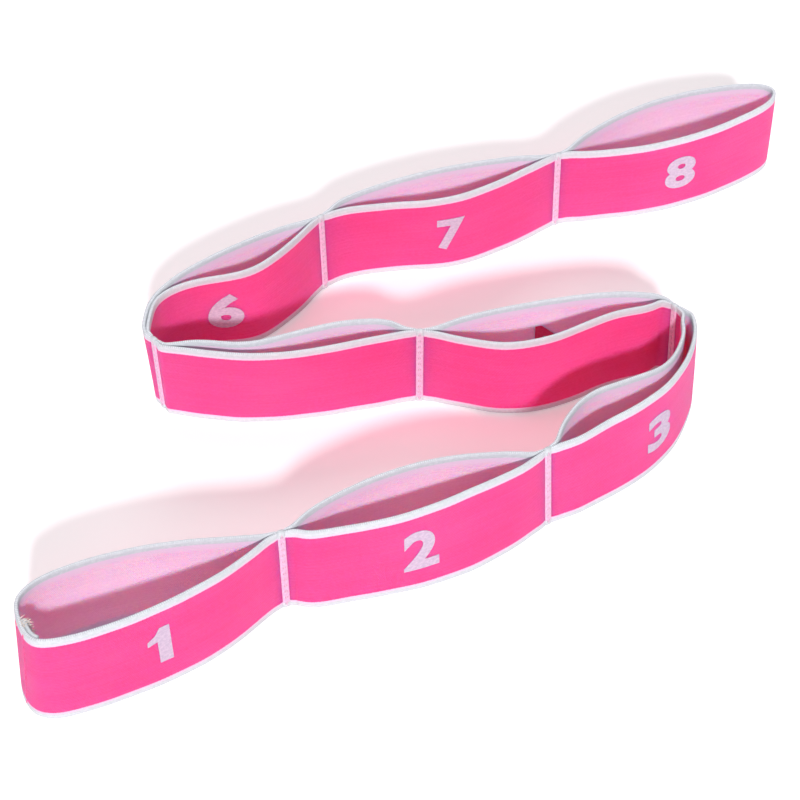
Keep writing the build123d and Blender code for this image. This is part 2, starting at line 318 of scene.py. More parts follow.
def webbing_material():
    """Jacquard elastic: pink ground outside, pale reverse inside, bluish white edges."""
    made, tree = new_material("woven_elastic")
    along, up, from_edge = weave_places(tree)
    outside = outer_side(tree)
    height = weave(along, up)
    ragged = tree.noise(tree.join(along * 1500, up * 300, 0), 1.0, 1.0) * (0.5 * MM)
    front_ground = (from_edge + ragged).ramp(EDGE - 0.05 * MM, EDGE + 0.35 * MM)
    back_ground = (from_edge + ragged).ramp(REVERSE_EDGE - 1.9 * MM, REVERSE_EDGE + 0.9 * MM)
    ground = outside * front_ground + (1 - outside) * back_ground
    border = (from_edge + ragged).ramp(EDGE - 0.9 * MM, EDGE - 0.45 * MM)
    streaks = tree.noise(tree.join(along * 18, up * 1100, 0), 1.0, 3.0, 0.6)
    mottle = tree.noise(tree.join(along * 700, up * 900, 3), 1.0, 2.0, 0.6)
    broad = tree.noise(tree.join(along * 26, up * 60, 7), 1.0, 2.0)
    tone = (streaks * 0.35 + mottle * 0.4 + broad * 0.35).ramp(0.36, 0.74)
    pink = tree.mix(tone, PINK_DEEP, PINK)
    pale = tree.mix(tone, PALE_DEEP, PALE)
    face = tree.mix(outside, pale, pink)
    white = tree.mix((mottle * 0.6 + streaks * 0.4).ramp(0.35, 0.7), WHITE_SHADE, WHITE)
    edge = tree.mix(border, white, PALE)
    patches = tree.noise(tree.join(along * 90, up * 90, 1), 1.0).ramp(0.5, 0.8)
    worn = from_edge.ramp(0.9 * MM, 0.2 * MM) * patches
    edge = tree.mix(worn * 0.35, edge, WHITE_SHADE)
    rough = 0.62 + mottle * 0.3 - height * 0.06
    bump = relief(tree, height + mottle * 0.25 + streaks * 0.3, 0.16 * MM)
    border_cloth = cloth(tree, edge, rough, bump, SHEEN)
    output_mix(tree, ground, border_cloth, cloth(tree, face, rough, bump, SHEEN, SOAK))
    return made


def numeral_material():
    """Pale figures woven into the pink ground. On the reverse they come out pink."""
    made, tree = new_material("woven_numeral")
    along, up, _ = weave_places(tree)
    mottle = tree.noise(tree.join(along * 700, up * 900, 5), 1.0, 2.0, 0.6)
    pale = tree.mix(mottle.ramp(0.35, 0.7), FIGURE_SHADE, FIGURE)
    pink = tree.mix(mottle.ramp(0.35, 0.7), FIGURE_REVERSE_DEEP, FIGURE_REVERSE)
    bump = relief(tree, weave(along, up) + mottle * 0.3, 0.14 * MM)
    rough = 0.7 + mottle * 0.2
    reverse = cloth(tree, pink, rough, bump, SHEEN)
    output_mix(tree, outer_side(tree), reverse, cloth(tree, pale, rough, bump, SHEEN))
    return made


def bar_material():
    """The bar woven across both layers: pale pink, white where it meets the edges, with a
    row of needle holes up its middle."""
    made, tree = new_material("woven_bar")
    along, up, from_edge = weave_places(tree)
    turns = ((up * (1 / (0.6 * MM))) * math.pi).sin().abs()
    rise = (((up - STITCH_MARGIN) * (1 / STITCH) + 0.5).fract() - 0.5) * STITCH
    away = (along * along + rise * rise) ** 0.5
    holed = from_edge.ramp(STITCH_MARGIN - 0.9 * MM, STITCH_MARGIN - 0.5 * MM)
    hole = away.ramp(0.75 * MM, 0.3 * MM) * holed
    mottle = tree.noise(tree.join(along * 1100, up * 900, 2), 1.0, 2.0, 0.6)
    pale = tree.mix(mottle.ramp(0.35, 0.7), BAR_PINK_DEEP, BAR_PINK)
    white = tree.mix(mottle.ramp(0.35, 0.7), WHITE_SHADE, WHITE)
    colour = tree.mix(from_edge.ramp(EDGE - 0.8 * MM, EDGE - 0.1 * MM), white, pale)
    # Painted shade: the needle holes are darkened, where the bump below sinks them
    colour = tree.mix(hole * 0.7, colour, HOLE_SHADE)
    finish(tree, colour, 0.66 + mottle * 0.25, turns + mottle * 0.4 - hole * 2, 0.14 * MM, SHEEN)
    return made


def thread_material(name, light, dark):
    """Twisted sewing thread or a turn of yarn."""
    made, tree = new_material(name)
    x, y, z = tree.split(tree.node("ShaderNodeTexCoord", out="Object"))
    twist = ((x + y + z * 1.3) * (2 * math.pi / (0.45 * MM))).sin() * 0.5 + 0.5
    fuzz = tree.noise(tree.join(x * 1500, y * 1500, z * 1500), 1.0, 2.0)
    # Partly painted shade: darker in the grooves of the twist and lighter on its ridges; partly random
    # fuzz tone
    colour = tree.mix((twist * 0.5 + fuzz * 0.5).ramp(0.25, 0.75), dark, light)
    finish(tree, colour, 0.55 + fuzz * 0.3, twist + fuzz * 0.4, 0.06 * MM, 0.1)
    return made


def floor_material():
    """A plain pale floor that glows a little, so that its shadows stay light."""
    made, tree = new_material("pale_floor")
    x, y, _ = tree.split(tree.node("ShaderNodeTexCoord", out="Object"))
    haze = tree.noise(tree.join(x * 3, y * 3, 0), 1.0)
    colour = tree.mix(haze, linear(250, 250, 251), linear(253, 253, 253))
    shader = tree.node("ShaderNodeBsdfPrincipled", None, {
        "Base Color": colour, "Roughness": 0.9 - haze * 0.05,
        "Normal": relief(tree, haze, 0.1 * MM), "Specular IOR Level": 0.25,
        "Emission Color": (1.0, 1.0, 1.0, 1.0), "Emission Strength": 0.2,
    })
    tree.node("ShaderNodeOutputMaterial", None, {"Surface": shader})
    return made


WEBBING = webbing_material()
NUMERAL = numeral_material()
BAR = bar_material()
SEWING = thread_material("sewing_thread", linear(232, 206, 224), linear(196, 156, 182))
WEFT = thread_material("weft_yarn", linear(240, 242, 247), linear(206, 212, 222))
LAP_SEWING = thread_material("lap_thread", linear(250, 84, 152), linear(228, 62, 128))
FRAY = thread_material("cut_yarn", linear(240, 234, 228), linear(212, 192, 180))


# ---------------------------------------------------------------- lines in plan
def plan(points):
    """Points given in millimetres, as arrays in metres."""
    return [np.array(p) * MM for p in points]


def seam_axis(number):
    return np.array(SEAMS[number][0]) * MM


def seam_way(number):
    angle = math.radians(SEAMS[number][1])
    return np.array((math.cos(angle), math.sin(angle)))


def left_of(way):
    return np.stack((-way[..., 1], way[..., 0]), -1)


def seam_start(number, way, side):
    """Control points of a layer beside a seam, from inside its bar to where the loop opens."""
    along = seam_way(number)
    across = left_of(along) * side * (THICK + BETWEEN) / 2
    axis = seam_axis(number)
    return [axis + along * way * reach + across for reach in (LAYER_START, PINCH * 0.55, PINCH)]


def smooth_line(points, step=STEP):
    """Evenly spaced points, about 'step' apart, on the quadratic B-spline that the control
    points steer, and the way along it at each."""
    control = np.array(points)
    spans = len(control) - 2
    fine = []
    for i in range(spans):
        a, b, c = control[i:i + 3]
        start = a if i == 0 else (a + b) / 2
        end = c if i == spans - 1 else (b + c) / 2
        t = np.linspace(0, 1, 60, endpoint=False)[:, None]
        fine.append((1 - t) ** 2 * start + 2 * t * (1 - t) * b + t ** 2 * end)
    fine = np.vstack(fine + [control[-1:]])
    for _ in range(3):
        fine = soften(fine)
    run = np.concatenate(([0], np.cumsum(np.linalg.norm(np.diff(fine, axis=0), axis=1))))
    count = max(8, round(run[-1] / step))
    places = np.linspace(0, run[-1], count + 1)
    line = np.stack([np.interp(places, run, fine[:, k]) for k in (0, 1)], -1)
    way = np.gradient(line, axis=0)
    way /= np.linalg.norm(way, axis=1)[:, None]
    return line, way, places


def soften(points, reach=12):
    """Each point moved to the mean of its neighbours, which rounds the bends a little."""
    kernel = np.hanning(2 * reach + 3)[1:-1]
    kernel /= kernel.sum()
    before = 2 * points[0] - points[reach:0:-1]
    after = 2 * points[-1] - points[-2:-reach - 2:-1]
    padded = np.vstack((before, points, after))
    return np.stack([np.convolve(padded[:, k], kernel, "valid") for k in (0, 1)], -1)


def layer_control(loop, layer):
    """Control points of one layer of a loop between two seams, low seam to high seam."""
    side = SIDE[layer]
    middle = plan(LAYERS[(loop, layer)])
    return seam_start(loop - 1, 1, side) + middle + seam_start(loop, -1, side)[::-1]


def end_control(loop):
    """Control points of an end loop, from its seam along the plain layer, round the fold,
    and back along the numbered layer."""
    seam, way = (1, -1) if loop == 1 else (7, 1)
    plain = plan(LAYERS[(loop, "plain")])
    numbered = plan(LAYERS[(loop, "numbered")])
    if loop == 1:
        plain = plain[::-1]
    else:
        numbered = numbered[::-1]
    return (seam_start(seam, way, SIDE["plain"]) + plain + plan(END_FOLDS[loop]) + numbered
            + seam_start(seam, way, SIDE["numbered"])[::-1])


# ---------------------------------------------------------------- webbing
LEAN_STEPS = 400                 # places along a length where a lean is worked out
LEAN_REACH = 32                  # of those, each way, over which its bends are rounded


def smooth_between(at, places, values):
    """Values between given ones at given places, 0 to 1, with the bends rounded off. Past
    each end they carry on as the mirror image, so that the end values are kept."""
    grid = np.linspace(-0.5, 1.5, 2 * LEAN_STEPS + 1)
    drawn = np.interp(grid, places, values)
    drawn = np.where(grid < 0, 2 * values[0] - np.interp(-grid, places, values), drawn)
    drawn = np.where(grid > 1, 2 * values[-1] - np.interp(2 - grid, places, values), drawn)
    kernel = np.hanning(2 * LEAN_REACH + 3)[1:-1]
    return np.interp(at, grid, np.convolve(drawn, kernel / kernel.sum(), "same"))


def leans_of(loop, layer):
    """A panel's leans, with those of the seams at its two ends."""
    if loop == 1:
        ends = [(0, 1, 1), (1, 1, -1)]
    elif loop == 8:
        ends = [(0, 7, 1), (1, 7, -1)]
    else:
        ends = [(0, loop - 1, SIDE[layer]), (1, loop, SIDE[layer])]
    first, last = [(share, *(lean * side for lean in SEAM_LEAN[seam])) for share, seam, side in ends]
    between = LEAN.get((loop, layer), [(0.15, 0, 0), (0.85, 0, 0)])
    if between[0][0] >= 0.4:
        between = [(0.1, 0, 0)] + between
    return [first] + between + [last]


class Panel:
    """One length of webbing on its edge: its middle line, and how far its outer and inner
    faces stand from it."""

    def __init__(self, name, control, outer_side, leans, pinched=True):
        self.name = name
        self.leans = np.array(leans, float)
        self.line, self.way, self.run = smooth_line(control)
        self.normal = left_of(self.way) * outer_side
        self.length = self.run[-1]
        self.out = np.full(len(self.run), THICK / 2)
        self.inn = -self.out
        if pinched:
            from_end = np.minimum(self.run, self.length - self.run)
            drawn = OUTER * np.sin(np.clip((from_end + LAYER_START) / PINCH, 0, 1) * math.pi / 2)
            self.out = np.minimum(self.out, np.maximum(drawn, PINCHED) - (THICK + BETWEEN) / 2)

    def lean(self, along, height):
        """How far the webbing stands out from an upright face, at a length and a height."""
        share = np.asarray(along) / self.length
        ends = [smooth_between(share, self.leans[:, 0], self.leans[:, k]) * MM for k in (1, 2)]
        up = np.asarray(height) / WIDTH
        return ends[0] * up + ends[1] * (1 - up)

    def at(self, along):
        """The middle line's point and outward normal, at a length along."""
        point = np.stack([np.interp(along, self.run, self.line[:, k]) for k in (0, 1)], -1)
        normal = np.stack([np.interp(along, self.run, self.normal[:, k]) for k in (0, 1)], -1)
        normal /= np.linalg.norm(normal, axis=-1)[..., None]
        return point, normal


def section():
    """The webbing's cross section: places across its thickness, -1 inner to 1 outer, heights,
    and 1 for the outer side. Its edges are half round."""
    radius = THICK / 2
    across, height, outside = [], [], []
    rises = np.linspace(radius, WIDTH - radius, ROWS + 1)
    for z in rises[:-1]:
        across.append(1.0)
        height.append(z)
        outside.append(1.0)
    for k in range(EDGE_FACES):
        angle = math.pi * k / EDGE_FACES
        across.append(math.cos(angle))
        height.append(WIDTH - radius + radius * math.sin(angle))
        outside.append(1.0 if k < EDGE_FACES / 2 else 0.0)
    for z in rises[:0:-1]:
        across.append(-1.0)
        height.append(z)
        outside.append(0.0)
    for k in range(EDGE_FACES):
        angle = math.pi * k / EDGE_FACES
        across.append(-math.cos(angle))
        height.append(radius - radius * math.sin(angle))
        outside.append(0.0 if k < EDGE_FACES / 2 else 1.0)
    return np.array(across), np.array(height), np.array(outside)


def mesh_object(name, points, faces, material, uv=None, outside=None, smooth=True):
    """A new mesh object. uv is one pair for each corner, and outside one number for each."""
    mesh = bpy.data.meshes.new(name)
    mesh.from_pydata([tuple(p) for p in points], [], faces)
    if uv is not None:
        layer = mesh.uv_layers.new(name="weave")
        layer.data.foreach_set("uv", np.asarray(uv, np.float32).ravel())
    if outside is not None:
        attribute = mesh.attributes.new("outside", "FLOAT", "CORNER")
        attribute.data.foreach_set("value", np.asarray(outside, np.float32).ravel())
    mesh.materials.append(material)
    mesh.polygons.foreach_set("use_smooth", [smooth] * len(mesh.polygons))
    mesh.update()
    made = bpy.data.objects.new(name, mesh)
    bpy.context.scene.collection.objects.link(made)
    return made


LONG_WAVE = 47 * MM              # the webbing's slight unevenness, lengths and heights
LONG_RISE = 0.16 * MM
SHORT_WAVE = 19 * MM
SHORT_RISE = 0.05 * MM
RIPPLE_SHIFT = 0.7               # from one loop's waves to the next loop's, in radians


def ripple(run, height, shift):
    """The webbing's unevenness, in metres: long waves that die out at the edges, and short
    slanting ones that don't."""
    wave = np.sin(run * 2 * math.pi / LONG_WAVE + shift) * np.sin(height * math.pi / WIDTH)
    cross = np.sin(run * 2 * math.pi / SHORT_WAVE + 2 * shift + height * 60)
    return wave * LONG_RISE + cross * SHORT_RISE


def webbing_piece(panel, shift):
    """The closed mesh of a panel, with its weave's coordinates in metres."""
    across, height, outside = section()
    around = len(across)
    stations = len(panel.run)
    fade = np.clip(np.minimum(panel.run, panel.length - panel.run) / STRETCH_GAP, 0, 1)
    points = np.zeros((stations, around, 3))
    for i in range(stations):
        middle = (panel.out[i] + panel.inn[i]) / 2
        reach = (panel.out[i] - panel.inn[i]) / 2
        offset = middle + across * reach + ripple(panel.run[i], height, shift) * fade[i]
        offset += panel.lean(panel.run[i], height)
        points[i, :, :2] = panel.line[i] + panel.normal[i] * offset[:, None]
        points[i, :, 2] = height
    flat = points.reshape(-1, 3)
    quads, uv, side = [], [], []
    turn = panel.way[0][0] * panel.normal[0][1] - panel.way[0][1] * panel.normal[0][0]
    for i in range(stations - 1):
        for k in range(around):
            n = (k + 1) % around
            corners = [(i, k), (i, n), (i + 1, n), (i + 1, k)]
            if turn > 0:
                corners = corners[::-1]
            quads.append([a * around + b for a, b in corners])
            both = (outside[k] + outside[n]) / 2 if k < ROWS or n < ROWS else outside[k]
            for a, b in corners:
                uv.append((panel.run[a], height[b]))
                side.append(1.0 if both >= 0.5 else 0.0)
    for i in (0, stations - 1):
        cap = [i * around + k for k in range(around)]
        if (i == 0) != (turn > 0):
            cap = cap[::-1]
        quads.append(cap)
        uv += [(panel.run[i], flat[j][2]) for j in cap]
        side += [1.0] * around
    return mesh_object(panel.name, flat, quads, WEBBING, uv, side)


PANELS = {}
for loop in range(2, 8):
    for layer in SIDE:
        name = f"loop_{loop}_{layer}_webbing"
        PANELS[(loop, layer)] = Panel(name, layer_control(loop, layer), SIDE[layer],
                                      leans_of(loop, layer))
for loop, side in ((1, -1), (8, 1)):
    PANELS[(loop, "both")] = Panel(f"loop_{loop}_webbing", end_control(loop), side,
                                   leans_of(loop, "both"))


# Where the end folds begin, which don't stretch
FOLD_STARTS = {1: np.array((-190, -93)) * MM, 8: np.array((188, 95)) * MM}


def stretch_ends(loop):
    """Start and end of the part of a loop's webbing that stretches, low end first."""
    if loop == 1:
        high = seam_axis(1) - seam_way(1) * STRETCH_GAP
        low = FOLD_STARTS[loop]
    elif loop == 8:
        low = seam_axis(7) + seam_way(7) * STRETCH_GAP
        high = FOLD_STARTS[loop]
    else:
        low, high = seam_axis(loop - 1), seam_axis(loop)
        way = (high - low) / np.linalg.norm(high - low)
        low, high = low + way * STRETCH_GAP, high - way * STRETCH_GAP
    return (*low, WIDTH / 2), (*high, WIDTH / 2)


def stretch(piece, loop):
    """The piece's transform goes into its mesh. The ends of its loop's stretching part are worked out, but
    nothing uses them.
    """
    start, end = stretch_ends(loop)
    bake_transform(piece)


def loop_nodes(loop, layer):
    return [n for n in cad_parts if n.startswith(f"loop_{loop}_{layer}")]


for (loop, layer), panel in PANELS.items():
    piece = webbing_piece(panel, RIPPLE_SHIFT * loop + (0.4 if layer == "plain" else 0))
    stretch(piece, loop)
    if layer == "both":
        nodes = loop_nodes(loop, "plain") + loop_nodes(loop, "numbered") + [f"loop_{loop}_end_fold"]
        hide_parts(*nodes)
    else:
        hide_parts(*loop_nodes(loop, layer))
    "folded" if layer == "both" else "stretched"


# ---------------------------------------------------------------- geometry trees
def geometry_tree(name, inputs):
    """A geometry tree with named inputs: its group, its nodes, its inputs and its last node."""
    group = bpy.data.node_groups.new(name, "GeometryNodeTree")
    group.interface.new_socket("Geometry", in_out="INPUT", socket_type="NodeSocketGeometry")
    for key, (kind, value) in inputs.items():
        socket = group.interface.new_socket(key, in_out="INPUT", socket_type=kind)
        if value is not None:
            socket.default_value = value
    group.interface.new_socket("Geometry", in_out="OUTPUT", socket_type="NodeSocketGeometry")
    tree = Tree(group)
    start = group.nodes.new("NodeGroupInput")
    end = group.nodes.new("NodeGroupOutput")
    given = {s.name: Wire(tree, s) for s in start.outputs if s.name}
    return group, tree, given, end


def applied(name, source, group, values):
    """A plain mesh object made by a geometry tree from a source object, which goes."""
    modifier = source.modifiers.new("tree", "NODES")
    modifier.node_group = group
    for item in group.interface.items_tree:
        if item.item_type == "SOCKET" and item.in_out == "INPUT" and item.name in values:
            modifier[item.identifier] = values[item.name]
    depsgraph = bpy.context.evaluated_depsgraph_get()
    mesh = bpy.data.meshes.new_from_object(source.evaluated_get(depsgraph))
    mesh.name = name
    bpy.data.objects.remove(source)
    made = bpy.data.objects.new(name, mesh)
    bpy.context.scene.collection.objects.link(made)
    return made


def route_object(name, lines):
    """A curve object of straight-run splines, one for each list of points."""
    curve = bpy.data.curves.new(name, "CURVE")
    curve.dimensions = "3D"
    for line in lines:
        spline = curve.splines.new("POLY")
        spline.points.add(len(line) - 1)
        for point, place in zip(spline.points, line):
            point.co = (*place, 1)
    made = bpy.data.objects.new(name, curve)
    bpy.context.scene.collection.objects.link(made)
    return made


def every(tree, given, pitch):
    """Points at even distances along the source curve, and their rotations."""
    points = tree.node("GeometryNodeCurveToPoints", {"mode": "LENGTH"},
                       {"Curve": given["Geometry"], "Length": pitch})
    return points, Wire(tree, points.socket.node.outputs["Rotation"])


def uneven(tree, given):
    """A random number about 1 for each instance."""
    return tree.node("FunctionNodeRandomValue", {"data_type": "FLOAT"}, {
        2: 1 - given["Unevenness"], 3: 1 + given["Unevenness"], "Seed": given["Seed"],
    }, out=1)


def realised(tree, placed, material, end):
    """The instances as plain geometry with their material, out of the tree."""
    whole = tree.node("GeometryNodeRealizeInstances", None, {0: placed})
    coated = tree.node("GeometryNodeSetMaterial", None, {"Geometry": whole, "Material": material})
    tree.links.new(coated.socket, end.inputs[0])


def weft_tree():
    """Little turns of weft yarn, one after another along a curve that follows an edge. Each
    is a long bead that lies across the edge."""
    group, tree, given, end = geometry_tree("weft_turns", {
        "Pitch": ("NodeSocketFloat", WEFT_PITCH),
        "Yarn": ("NodeSocketFloat", WEFT_YARN),
        "Reach": ("NodeSocketFloat", WEFT_REACH),
        "Unevenness": ("NodeSocketFloat", 0.16),
        "Seed": ("NodeSocketInt", 3),
        "Yarn finish": ("NodeSocketMaterial", None),
    })
    points, turned = every(tree, given, given["Pitch"])
    bead = tree.node("GeometryNodeMeshUVSphere", None,
                     {"Segments": 6, "Rings": 4, "Radius": 1.0})
    bead = tree.node("GeometryNodeTransform", None, {
        "Geometry": bead,
        "Scale": tree.join(given["Reach"], given["Yarn"], given["Yarn"]),
    })
    placed = tree.node("GeometryNodeInstanceOnPoints", None, {
        "Points": points, "Instance": bead, "Rotation": turned,
        "Scale": tree.join(uneven(tree, given), 1.0, 1.0),
    })
    realised(tree, placed, given["Yarn finish"], end)
    return group


def stitch_tree():
    """A run of lockstitches along each spline: short rounded lengths of thread that dip at
    the needle holes."""
    group, tree, given, end = geometry_tree("lockstitches", {
        "Pitch": ("NodeSocketFloat", STITCH),
        "Thread": ("NodeSocketFloat", THREAD),
        "Hole": ("NodeSocketFloat", 0.55 * MM),
        "Unevenness": ("NodeSocketFloat", 0.06),
        "Seed": ("NodeSocketInt", 5),
        "Thread finish": ("NodeSocketMaterial", None),
    })
    points, turned = every(tree, given, given["Pitch"])
    length = (given["Pitch"] - given["Hole"]) * 0.5
    thread = tree.node("GeometryNodeMeshUVSphere", None, {"Segments": 10, "Rings": 9, "Radius": 1.0})
    thread = tree.node("GeometryNodeTransform", None, {
        "Geometry": thread,
        "Scale": tree.join(given["Thread"] * 0.5, given["Thread"] * 0.5, length),
    })
    stout = uneven(tree, given)
    placed = tree.node("GeometryNodeInstanceOnPoints", None, {
        "Points": points, "Instance": thread, "Rotation": turned,
        "Scale": tree.join(stout, stout, 1.0),
    })
    realised(tree, placed, given["Thread finish"], end)
    return group


WEFT_TREE = weft_tree()
STITCH_TREE = stitch_tree()


def stitched(name, body, node, lines, seed, finish):
    """Rows of stitches along lines, riding on a body and standing for the CAD's thread."""
    made = applied(name, route_object(name, lines), STITCH_TREE, {
        "Pitch": STITCH, "Thread": THREAD, "Hole": NEEDLE_HOLE, "Unevenness": 0.06,
        "Seed": seed, "Thread finish": finish,
    })
    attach(made, body)
    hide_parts(node)


def edge_lines(panel):
    """The middle lines of a panel's upper and lower edges."""
    middle = (panel.out + panel.inn) / 2
    keep = (panel.run > THICK) & (panel.run < panel.length - THICK)
    lines = []
    for height in (WIDTH - 0.22 * MM, 0.32 * MM):
        line = panel.line + panel.normal * (middle + panel.lean(panel.run, height))[:, None]
        lines.append([(x, y, height) for x, y in line[keep]])
    return lines


for (loop, layer), panel in PANELS.items():
    name = f"loop_{loop}_weft_turns" if layer == "both" else f"loop_{loop}_{layer}_weft_turns"
    turns = applied(name, route_object(name, edge_lines(panel)), WEFT_TREE, {
        "Pitch": WEFT_PITCH, "Yarn": WEFT_YARN, "Reach": WEFT_REACH, "Unevenness": 0.16,
        "Seed": 10 * loop + len(layer), "Yarn finish": WEFT,
    })
    stretch(turns, loop)


# ---------------------------------------------------------------- numerals
# Each figure's width and height, and how far along and up it stands from where it would be
# in the middle, in millimetres
FIGURES = {
    1: (9.3, 17.4, 0, 0.6),
    2: (14.2, 19.2, -2.4, 0.4),
    3: (14.4, 17.6, 0, -0.8),
    4: (14.6, 17.4, 0, -2.0),
    5: (14.0, 17.4, 0, 0),
    6: (15.0, 18.8, 0, 0),
    7: (12.2, 17.0, 1.4, -0.4),
    8: (14.8, 17.6, 0, 0.4),
}
FIGURE_SHARE = 0.495             # of a layer's length, to its figure
END_FIGURE = 57.5 * MM           # from an end loop's seam, back along its numbered layer
FIGURE_STRIP = 1.1 * MM
FIGURE_PROUD = 0.1 * MM          # how far a figure stands out of the webbing's face
FIGURE_DEEP = 0.5 * MM           # its thickness, mostly sunk in the webbing
ONE = [(0.24, 0), (0.56, 0), (0.56, 1), (0.32, 1), (0.2, 0.82), (0, 0.7), (0, 0.57), (0.24, 0.63)]


def figure_curve(figure):
    """A heavy figure as a flat curve, half a unit thick each way."""
    if figure == 1:
        curve = bpy.data.curves.new("figure", "CURVE")
        curve.dimensions = "2D"
        curve.fill_mode = "BOTH"
        spline = curve.splines.new("POLY")
        spline.points.add(len(ONE) - 1)
        for point, (x, y) in zip(spline.points, ONE):
            point.co = (x, y, 0, 1)
        spline.use_cyclic_u = True
    else:
        curve = bpy.data.curves.new("figure", "FONT")
        curve.body = str(figure)
        curve.offset = 0.04
        curve.resolution_u = 6
    curve.extrude = 0.5
    return curve


def figure_mesh(figure):
    """A heavy upright figure as a flat solid, cut into narrow strips so that it can follow
    the webbing: its points, centred, and its faces."""
    curve = figure_curve(figure)
    source = bpy.data.objects.new("figure", curve)
    bpy.context.scene.collection.objects.link(source)
    depsgraph = bpy.context.evaluated_depsgraph_get()
    mesh = bpy.data.meshes.new_from_object(source.evaluated_get(depsgraph))
    bpy.data.objects.remove(source)
    build = bmesh.new()
    build.from_mesh(mesh)
    bmesh.ops.remove_doubles(build, verts=build.verts, dist=1e-5)
    low = [min(v.co[k] for v in build.verts) for k in range(3)]
    high = [max(v.co[k] for v in build.verts) for k in range(3)]
    wide, tall = (size * MM for size in FIGURES[figure][:2])
    for vert in build.verts:
        vert.co.x = (vert.co.x - (low[0] + high[0]) / 2) * wide / (high[0] - low[0])
        vert.co.y = (vert.co.y - (low[1] + high[1]) / 2) * tall / (high[1] - low[1])
        vert.co.z = (vert.co.z - low[2]) / (high[2] - low[2])
    half = wide / 2
    for cut in np.arange(-half, half, FIGURE_STRIP):
        bmesh.ops.bisect_plane(build, geom=build.verts[:] + build.edges[:] + build.faces[:],
                               plane_co=(cut, 0, 0), plane_no=(1, 0, 0), dist=1e-6)
    bmesh.ops.triangulate(build, faces=build.faces[:])
    points = np.array([v.co[:] for v in build.verts])
    faces = [[v.index for v in f.verts] for f in build.faces]
    build.free()
    return points, faces


def numeral(loop):
    """The loop's figure, woven through the numbered layer: pale outside, pink and the wrong
    way round inside."""
    points, faces = figure_mesh(loop)
    panel = PANELS.get((loop, "numbered")) or PANELS[(loop, "both")]
    points[:, 1] += FIGURES[loop][3] * MM
    towards = -1 if loop == 8 else 1
    centre = panel.length * FIGURE_SHARE
    if loop in END_FOLDS:
        centre = panel.length - END_FIGURE
    centre += FIGURES[loop][2] * MM
    run = centre + towards * points[:, 0]
    rise = points[:, 1] + WIDTH / 2
    where, normal = panel.at(run)
    lift = ripple(run, rise, RIPPLE_SHIFT * loop)
    depth = THICK / 2 + FIGURE_PROUD - (1 - points[:, 2]) * FIGURE_DEEP
    for side, outside in (("front", 1), ("back", -1)):
        place = np.zeros((len(points), 3))
        place[:, 2] = rise
        offset = outside * depth + lift + panel.lean(run, rise)
        place[:, :2] = where + normal * offset[:, None]
        uv = [(run[v], rise[v]) for f in faces for v in f]
        flag = [1.0 if side == "front" else 0.0] * len(uv)
        made = mesh_object(f"numeral_{loop}_{side}", place, faces, NUMERAL, uv, flag, smooth=False)
        build = bmesh.new()
        build.from_mesh(made.data)
        bmesh.ops.recalc_face_normals(build, faces=build.faces[:])
        build.to_mesh(made.data)
        build.free()
        stretch(made, loop)


for loop in range(1, 9):
    numeral(loop)


# ---------------------------------------------------------------- seams
STITCH_RISES = np.linspace(STITCH_MARGIN, WIDTH - STITCH_MARGIN, 12)


def seam_lean(number, height):
    """How far a bar leans to the left of the way along the strap, at a height."""
    top, bottom = SEAM_LEAN[number]
    return (bottom + (top - bottom) * height / WIDTH) * MM


BAR_AROUND = 28                  # points round a bar
BAR_ROUND = 1.0 * MM             # height over which its ends round off, to a share of its girth
BAR_END = 0.65
GROOVE_WIDE = 0.55 * MM
GROOVE_FROM = 0.5 * MM           # the bar's sides, nearer its plane than this, have no groove
GROOVE_DEEP = 0.08 * MM
STITCH_PULL = 0.16 * MM          # how much deeper the groove is at each needle hole


def bar_piece(number):
    """The woven bar: a rounded strip with a shallow groove where the stitches pull it in."""
    around = BAR_AROUND
    rises = np.concatenate(([0.0, 0.35 * MM], np.linspace(BAR_ROUND, WIDTH - BAR_ROUND, 60),
                            [WIDTH - 0.35 * MM, WIDTH]))
    along = seam_way(number)
    across = left_of(along)
    axis = seam_axis(number)
    points, faces, places = [], [], []
    for z in rises:
        from_end = min(1, min(z, WIDTH - z) / BAR_ROUND)
        full = math.sqrt(max(0.0, 1 - (1 - from_end) ** 2)) * (1 - BAR_END) + BAR_END
        pull = STITCH_PULL * (0.5 + 0.5 * math.cos(2 * math.pi * (z - STITCH_MARGIN) / STITCH))
        for k in range(around):
            angle = 2 * math.pi * k / around
            c, s = math.cos(angle), math.sin(angle)
            x = BAR_WIDE / 2 * full * math.copysign(abs(c) ** 0.75, c)
            y = BAR_THICK / 2 * full * math.copysign(abs(s) ** 0.6, s)
            groove = math.exp(-(x / GROOVE_WIDE) ** 2)
            if abs(y) > GROOVE_FROM:
                y -= math.copysign((pull + GROOVE_DEEP) * groove, y)
            points.append((*(axis + along * x + across * (y + seam_lean(number, z))), z))
            places.append((x, z))
    for i in range(len(rises) - 1):
        for k in range(around):
            n = (k + 1) % around
            faces.append([i * around + k, i * around + n, (i + 1) * around + n, (i + 1) * around + k])
    faces.append(list(range(around))[::-1])
    faces.append([(len(rises) - 1) * around + k for k in range(around)])
    uv = [places[v] for face in faces for v in face]
    made = mesh_object(f"seam_{number}_woven_bar", points, faces, BAR, uv)
    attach(made, f"seam_{number}")
    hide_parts(f"seam_{number}_bar")


def seam_stitches(number):
    """The row of stitches up both faces of a bar."""
    axis, along = seam_axis(number), seam_way(number)
    across = left_of(along)
    lines = []
    for side in (1, -1):
        out = side * (BAR_THICK / 2 - GROOVE_DEEP)
        lines.append([(*(axis + across * (out + seam_lean(number, z))), z) for z in STITCH_RISES])
    seam = f"seam_{number}"
    stitched(f"{seam}_stitches", seam, f"{seam}_thread", lines, number, SEWING)


for number in SEAMS:
    bar_piece(number)
    seam_stitches(number)

